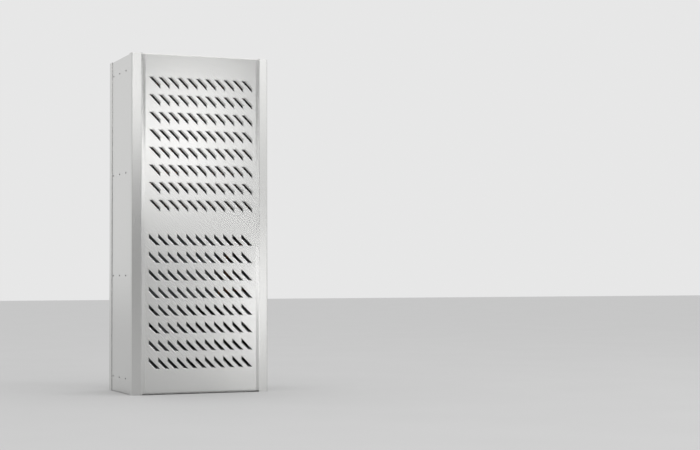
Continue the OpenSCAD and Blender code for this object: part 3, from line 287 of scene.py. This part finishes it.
# Front cover, with rounded folds and louvres whose edges are rolled
SHEET = 1.5 * MM
BEVEL_W = 26.5 * MM
BEVEL_D = 8 * MM
BEVEL_FOLD = 3 * MM
CORNER_FOLD = 4 * MM
PANEL_FOLD = 4 * MM
FLANGE_Z = 3 * MM
FLANGE_D = 22 * MM
HOOK_X = 110 * MM
HOOK_W = 20 * MM
HOOK_H = 10 * MM
BODY_FRONT = 12 * MM
GAP = 0.3 * MM
SKIN = 0.1 * MM
LOUVRE_COLS = 11
LOUVRE_ROWS = 8
PITCH_X = 27 * MM
PITCH_Z = 49 * MM
SLIT = 47 * MM
LOUVRE_W = 9 * MM
THROAT = 4.2 * MM
DEPTH = 5 * MM
BAND = 94 * MM
FIELD_RISE = 2.4 * MM
END_ROUND = 0.08
LIP_ROUND = 0.06
ROLL = 1.1 * MM
INTAKE_TURN = -45
OUTLET_TURN = 135

# A louvre's rolled edge in units of ROLL, along the sheet and down, then shares of the way to its lip
ROLL_STEPS = ((-1, 0), (-0.3, 0.12), (0.25, 0.45), (1, 1.25))
POCKET_SHARES = (0.35, 0.68, 1.0)

# How finely curves and long stretches are cut, and how far from a fold an edge keeps a flat's shading
LOUVRE_SIDES = 3
SIDE_CUTS = 3
BEVEL_STEPS = 5
CORNER_STEPS = 10
PANEL_STEPS = 6
BEVEL_EDGE_SHARE = 0.06
RETURN_EDGE_SHARE = 0.1

# Mark that tells the flat panel's faces from the rest, and the lengths in metres that count as none
FLAT = 1
MERGE = 1e-6
TINY = 1e-7

cover_lo, cover_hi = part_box("front_cover")
HALF_W = (cover_hi.x - cover_lo.x) / 2
UNIT_H = cover_hi.z
FRONT_Y = cover_lo.y
RETURN_Y = cover_hi.y
PANEL_HALF = HALF_W - BEVEL_W
FLAT_HALF = PANEL_HALF - 4 * BEVEL_FOLD
FIELD_Z = UNIT_H / 2 + FIELD_RISE


def arc(corner, before, after, radius, steps):
    """Points of the rounded corner of a path in the plane."""
    turn = math.atan2(before.x * after.y - before.y * after.x, before.dot(after))
    start = corner - before * radius * math.tan(abs(turn) / 2)
    side = math.copysign(radius, turn)
    centre = start + Vector((-before.y, before.x)) * side
    arm = start - centre
    points = []
    for k in range(steps + 1):
        a = turn * k / steps
        points.append(centre + Vector((arm.x * math.cos(a) - arm.y * math.sin(a),
                                       arm.x * math.sin(a) + arm.y * math.cos(a))))
    return points


def rounded_path(points, share, per_side=5):
    """Path in space whose inner corners are quadratic curves over a share of the shorter side."""
    out = [points[0]]
    for i in range(1, len(points) - 1):
        a, b, c = points[i - 1], points[i], points[i + 1]
        reach = share * min((a - b).length, (c - b).length)
        p = b + (a - b).normalized() * reach
        q = b + (c - b).normalized() * reach
        for k in range(per_side + 1):
            t = k / per_side
            out.append(p * (1 - t) ** 2 + b * 2 * t * (1 - t) + q * t ** 2)
    out.append(points[-1])
    return out


def resampled(points):
    """Path with its longest stretches, the sides of a louvre, cut into equal pieces."""
    out = []
    longest = sorted(range(len(points) - 1), key=lambda i: -(points[i + 1] - points[i]).length)
    for i in range(len(points) - 1):
        pieces = SIDE_CUTS if i in longest[:LOUVRE_SIDES] else 1
        for k in range(pieces):
            out.append(points[i].lerp(points[i + 1], k / pieces))
    out.append(points[-1])
    return out


def louvre_rings():
    """Rings of the pressed pocket from its rolled edge to its lip, as (along, across, depth)."""
    fold_half = SLIT / 2 - LOUVRE_W
    rim = [Vector((-SLIT / 2, 0, 0)), Vector((-fold_half, -LOUVRE_W, 0)),
           Vector((fold_half, -LOUVRE_W, 0)), Vector((SLIT / 2, 0, 0))]
    lip = [Vector((-SLIT / 2, 0, 0)), Vector((-fold_half, -THROAT, DEPTH)),
           Vector((fold_half, -THROAT, DEPTH)), Vector((SLIT / 2, 0, 0))]
    rim = resampled(rounded_path(rim, END_ROUND))
    lip = resampled(rounded_path(lip, LIP_ROUND))
    rings = []
    for along, down in ROLL_STEPS:
        ring = []
        for a, b in zip(rim, lip):
            run = b - a
            flat = Vector((run.x, run.y, 0))
            fade = min(1.0, flat.length / (2 * ROLL))
            direction = flat.normalized() if flat.length > 0 else flat
            point = a + direction * (along * ROLL * fade)
            ring.append(Vector((point.x, min(point.y, 0.0), down * ROLL * fade)))
        rings.append(ring)
    for share in POCKET_SHARES:
        rings.append([a.lerp(b, share) for a, b in zip(rim, lip)])
    return rings


def louvre_places():
    """Centre of each cut edge in the panel and the turn of the louvre, intake group first."""
    for group in (-1, 1):
        for row in range(LOUVRE_ROWS):
            for col in range(LOUVRE_COLS):
                x = (col - (LOUVRE_COLS - 1) / 2) * PITCH_X
                z = FIELD_Z + group * (BAND / 2 + row * PITCH_Z)
                yield x, z, math.radians(INTAKE_TURN if group < 0 else OUTLET_TURN)


def on_panel(point, place):
    """A louvre's own point, turned and moved to its place in the part."""
    x, z, turn = place
    c, s = math.cos(turn), math.sin(turn)
    return Vector((x + point.x * c - point.y * s, FRONT_Y + point.z, z + point.x * s + point.y * c))


def add_grid(bm, rows):
    """Faces between rows of points, which run to the right; each next row is below."""
    layers = [[bm.verts.new(p) for p in row] for row in rows]
    for upper, lower in zip(layers, layers[1:]):
        for i in range(len(upper) - 1):
            bm.faces.new((upper[i], lower[i], lower[i + 1], upper[i + 1]))


def add_flat_panel(bm, rings, low, high):
    """The flat of the panel, with a hole for every louvre."""
    points = [Vector(p) for p in ((-FLAT_HALF, low), (FLAT_HALF, low), (FLAT_HALF, high), (-FLAT_HALF, high))]
    edges = [(0, 1), (1, 2), (2, 3), (3, 0)]
    holes = []
    for place in louvre_places():
        loop = [on_panel(p, place) for p in rings[0]]
        first = len(points)
        points.extend(Vector((p.x, p.z)) for p in loop)
        n = len(loop)
        edges.extend((first + i, first + (i + 1) % n) for i in range(n))
        holes.append([(p.x, p.z) for p in loop])
    verts, _, faces, *_ = delaunay_2d_cdt(points, edges, [], 1, TINY, False)
    centres = [(x, z) for x, z, turn in louvre_places()]
    reach = SLIT / 2 + ROLL
    made = [bm.verts.new((p.x, FRONT_Y, p.y)) for p in verts]
    for face in faces:
        middle = sum((verts[i] for i in face), Vector((0, 0))) / len(face)
        in_hole = any(abs(middle.x - x) < reach and abs(middle.y - z) < reach and point_in(middle, hole)
                      for (x, z), hole in zip(centres, holes))
        if not in_hole:
            bm.faces.new([made[i] for i in face]).material_index = FLAT


def point_in(p, loop):
    """Whether a point lies inside a loop: a ray from it crosses the loop an odd number of times."""
    odd = False
    for i in range(len(loop)):
        (x0, y0), (x1, y1) = loop[i - 1], loop[i]
        if (y0 > p.y) != (y1 > p.y) and p.x < (x1 - x0) * (p.y - y0) / (y1 - y0) + x0:
            odd = not odd
    return odd


def side_profile():
    """Section of one side of the cover in (x, y), from the flat panel to the end of the return."""
    bevel = Vector((BEVEL_W, BEVEL_D)).normalized()
    path = [Vector((FLAT_HALF, FRONT_Y)), Vector((PANEL_HALF - BEVEL_FOLD, FRONT_Y))]
    path += arc(Vector((PANEL_HALF, FRONT_Y)), Vector((1, 0)), bevel, BEVEL_FOLD, BEVEL_STEPS)
    corner = arc(Vector((HALF_W, FRONT_Y + BEVEL_D)), bevel, Vector((0, 1)), CORNER_FOLD, CORNER_STEPS)
    path += [path[-1].lerp(corner[0], share) for share in (BEVEL_EDGE_SHARE, 1 - BEVEL_EDGE_SHARE)]
    end = Vector((HALF_W, RETURN_Y))
    return path + corner + [corner[-1].lerp(end, RETURN_EDGE_SHARE), end]


def front_cover():
    bm = bmesh.new()
    rings = louvre_rings()
    low, high = FLANGE_Z + PANEL_FOLD, UNIT_H - PANEL_FOLD
    add_flat_panel(bm, rings, low, high)
    for place in louvre_places():
        add_grid(bm, [[on_panel(p, place) for p in ring] for ring in reversed(rings)])
    profile = side_profile()
    for side in (-1, 1):
        for part, z0, z1 in ((profile[:2], low, high), (profile[1:], 0.0, UNIT_H)):
            rows = [[Vector((side * p.x, p.y, z)) for p in (part if side > 0 else part[::-1])]
                    for z in (z1, z0)]
            add_grid(bm, rows)
    inner = PANEL_HALF - BEVEL_FOLD
    ahead, down = Vector((-1, 0)), Vector((0, -1))
    top = arc(Vector((FRONT_Y, UNIT_H)), ahead, down, PANEL_FOLD, PANEL_STEPS)
    bottom = arc(Vector((FRONT_Y, FLANGE_Z)), down, -ahead, PANEL_FOLD, PANEL_STEPS)
    top = [Vector((FRONT_Y + FLANGE_D, UNIT_H))] + top
    bottom = bottom + [Vector((FRONT_Y + FLANGE_D, FLANGE_Z))]
    for strip in (top, bottom):
        add_grid(bm, [[Vector((x, p.x, p.y)) for x in (-inner, -FLAT_HALF, FLAT_HALF, inner)]
                      for p in strip])
    bmesh.ops.remove_doubles(bm, verts=bm.verts[:], dist=MERGE)
    bmesh.ops.dissolve_degenerate(bm, edges=bm.edges[:], dist=TINY)
    for edge in bm.edges:
        sides = {face.material_index for face in edge.link_faces}
        edge.smooth = len(edge.link_faces) == 2 and len(sides) == 1
    for face in bm.faces:
        face.smooth = True
        face.material_index = 0
    mesh = bpy.data.meshes.new("front_cover_sheet")
    bm.to_mesh(mesh)
    bm.free()
    cover = mesh_object("front_cover_sheet", mesh, "stainless")
    thick = cover.modifiers.new("thickness", "SOLIDIFY")
    thick.thickness = SHEET
    thick.offset = -1
    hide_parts("front_cover")


def add_prism(bm, outline, z0, z1):
    """Upright solid over an outline in (x, y)."""
    low = [bm.verts.new((x, y, z0)) for x, y in outline]
    high = [bm.verts.new((x, y, z1)) for x, y in outline]
    bm.faces.new(low)
    bm.faces.new(high)
    for i in range(len(outline)):
        j = (i + 1) % len(outline)
        bm.faces.new((low[i], low[j], high[j], high[i]))


def cover_webs():
    """Webs that close the corners of the cover, and the hooks under its top flange."""
    bm = bmesh.new()
    edge = PANEL_HALF - SHEET
    side_x = HALF_W - SHEET / 2
    for side in (-1, 1):
        for z, back in ((UNIT_H - SHEET, FRONT_Y + FLANGE_D), (FLANGE_Z, FRONT_Y + BODY_FRONT - GAP)):
            outline = [(edge, FRONT_Y + SHEET), (PANEL_HALF, FRONT_Y + SHEET / 2),
                       (side_x, FRONT_Y + BEVEL_D + SHEET), (side_x, back), (edge, back)]
            add_prism(bm, [(side * x, y) for x, y in outline], z, z + SHEET - SKIN)
        x0, x1 = side * HOOK_X - HOOK_W / 2, side * HOOK_X + HOOK_W / 2
        y0, y1 = FRONT_Y + FLANGE_D - SHEET, FRONT_Y + FLANGE_D
        add_prism(bm, [(x0, y0), (x1, y0), (x1, y1), (x0, y1)], UNIT_H - HOOK_H, UNIT_H - SHEET)
    bmesh.ops.recalc_face_normals(bm, faces=bm.faces[:])
    mesh = bpy.data.meshes.new("cover_webs")
    bm.to_mesh(mesh)
    bm.free()
    mesh_object("cover_webs", mesh, "stainless")


# Area lamps: place, the height that each aims at, width and height in metres, power in watts
LAMPS = (
    ("key_left", (1.15, -5.0, 1.15), 0.6, (0.6, 0.7), 2.9),
    ("key_right", (1.55, -5.0, 1.25), 0.6, (0.5, 0.8), 2.5),
    ("over", (1.2, -4.3, 3.0), 0.5, (3.4, 0.7), 11),
    ("rim", (3.7, -3.0, 2.6), 0.4, (0.8, 0.8), 20),
    ("left_high", (-1.8, -4.8, 1.5), 0.7, (0.8, 0.8), 4.4),
    ("right_high", (4.0, -3.3, 1.45), 0.5, (0.8, 0.5), 1),
    ("low_right", (2.15, -5.0, 0.18), 0.3, (0.5, 0.4), 3.9),
    ("right_low", (4.0, -3.3, 0.25), 0.3, (0.8, 0.45), 2),
)

# Sheen alone, or these two lamps would draw bright pools on the floor beside them
SHEEN_LAMPS = ("low_right", "right_low")
SKY_STRENGTH = 0.6
SKY_SPREAD = 60


def area_light(name, place, aim_z, size, power):
    data = bpy.data.lights.new(name, "AREA")
    data.shape = "RECTANGLE"
    data.size, data.size_y = size
    data.energy = power
    lamp = bpy.data.objects.new(name, data)
    lamp.location = place
    lamp.rotation_euler = (Vector((0, 0, aim_z)) - Vector(place)).to_track_quat("-Z", "Y").to_euler()
    lamp.visible_camera = False
    lamp.visible_diffuse = name not in SHEEN_LAMPS
    bpy.context.collection.objects.link(lamp)


def sky_light():
    data = bpy.data.lights.new("sky", "SUN")
    data.energy = SKY_STRENGTH
    data.angle = math.radians(SKY_SPREAD)
    lamp = bpy.data.objects.new("sky", data)
    lamp.visible_camera = False
    bpy.context.collection.objects.link(lamp)


def make_lights():
    for lamp in LAMPS:
        area_light(*lamp)
    sky_light()


# Floor: plain and matt
FLOOR_SIZE = 40.0
FLOOR_COLOUR = (0.58, 0.58, 0.58)


def make_floor():
    bpy.ops.mesh.primitive_plane_add(size=FLOOR_SIZE, location=(0, 0, 0))
    floor = bpy.context.object
    floor.name = "floor"
    m = Nodes("pale_floor")
    m.tinted(m.noise(3.0, detail=4.0), FLOOR_COLOUR, 0.99, 1.01)
    m.set(Roughness=0.9, Specular_IOR_Level=0.0)
    floor.data.materials.append(m.material)


# The studio is pale all round, with a low dim patch on the side that the front faces
WORLD_PALE = 0.80
WORLD_DIM = 0.18
DIM_TOWARDS = (0.10, -0.99, 0.05)
DIM_FLATNESS = (1.0, 1.0, 2.5)
DIM_EDGE = 0.62
DIM_HEART = 0.90


def make_world():
    world = bpy.data.worlds.new("studio")
    bpy.context.scene.world = world
    world.use_nodes = True
    tree = world.node_tree
    background = tree.nodes["Background"]
    background.inputs["Color"].default_value = (1, 1, 1, 1)
    value = tree.nodes.new("ShaderNodeTexCoord").outputs["Generated"]
    for operation, vector in (("MULTIPLY", DIM_FLATNESS), ("NORMALIZE", None), ("DOT_PRODUCT", DIM_TOWARDS)):
        node = tree.nodes.new("ShaderNodeVectorMath")
        node.operation = operation
        tree.links.new(value, node.inputs[0])
        if vector:
            node.inputs[1].default_value = vector
        value = node.outputs["Value" if operation == "DOT_PRODUCT" else "Vector"]
    fade = tree.nodes.new("ShaderNodeMapRange")
    fade.interpolation_type = "SMOOTHSTEP"
    fade.inputs["From Min"].default_value = DIM_EDGE
    fade.inputs["From Max"].default_value = DIM_HEART
    fade.inputs["To Min"].default_value = WORLD_PALE
    fade.inputs["To Max"].default_value = WORLD_DIM
    tree.links.new(value, fade.inputs["Value"])
    tree.links.new(fade.outputs["Result"], background.inputs["Strength"])


make_camera()
dress_nodes()
front_cover()
cover_webs()
make_floor()
make_world()
make_lights()
bpy.context.scene.view_settings.view_transform = "Standard"
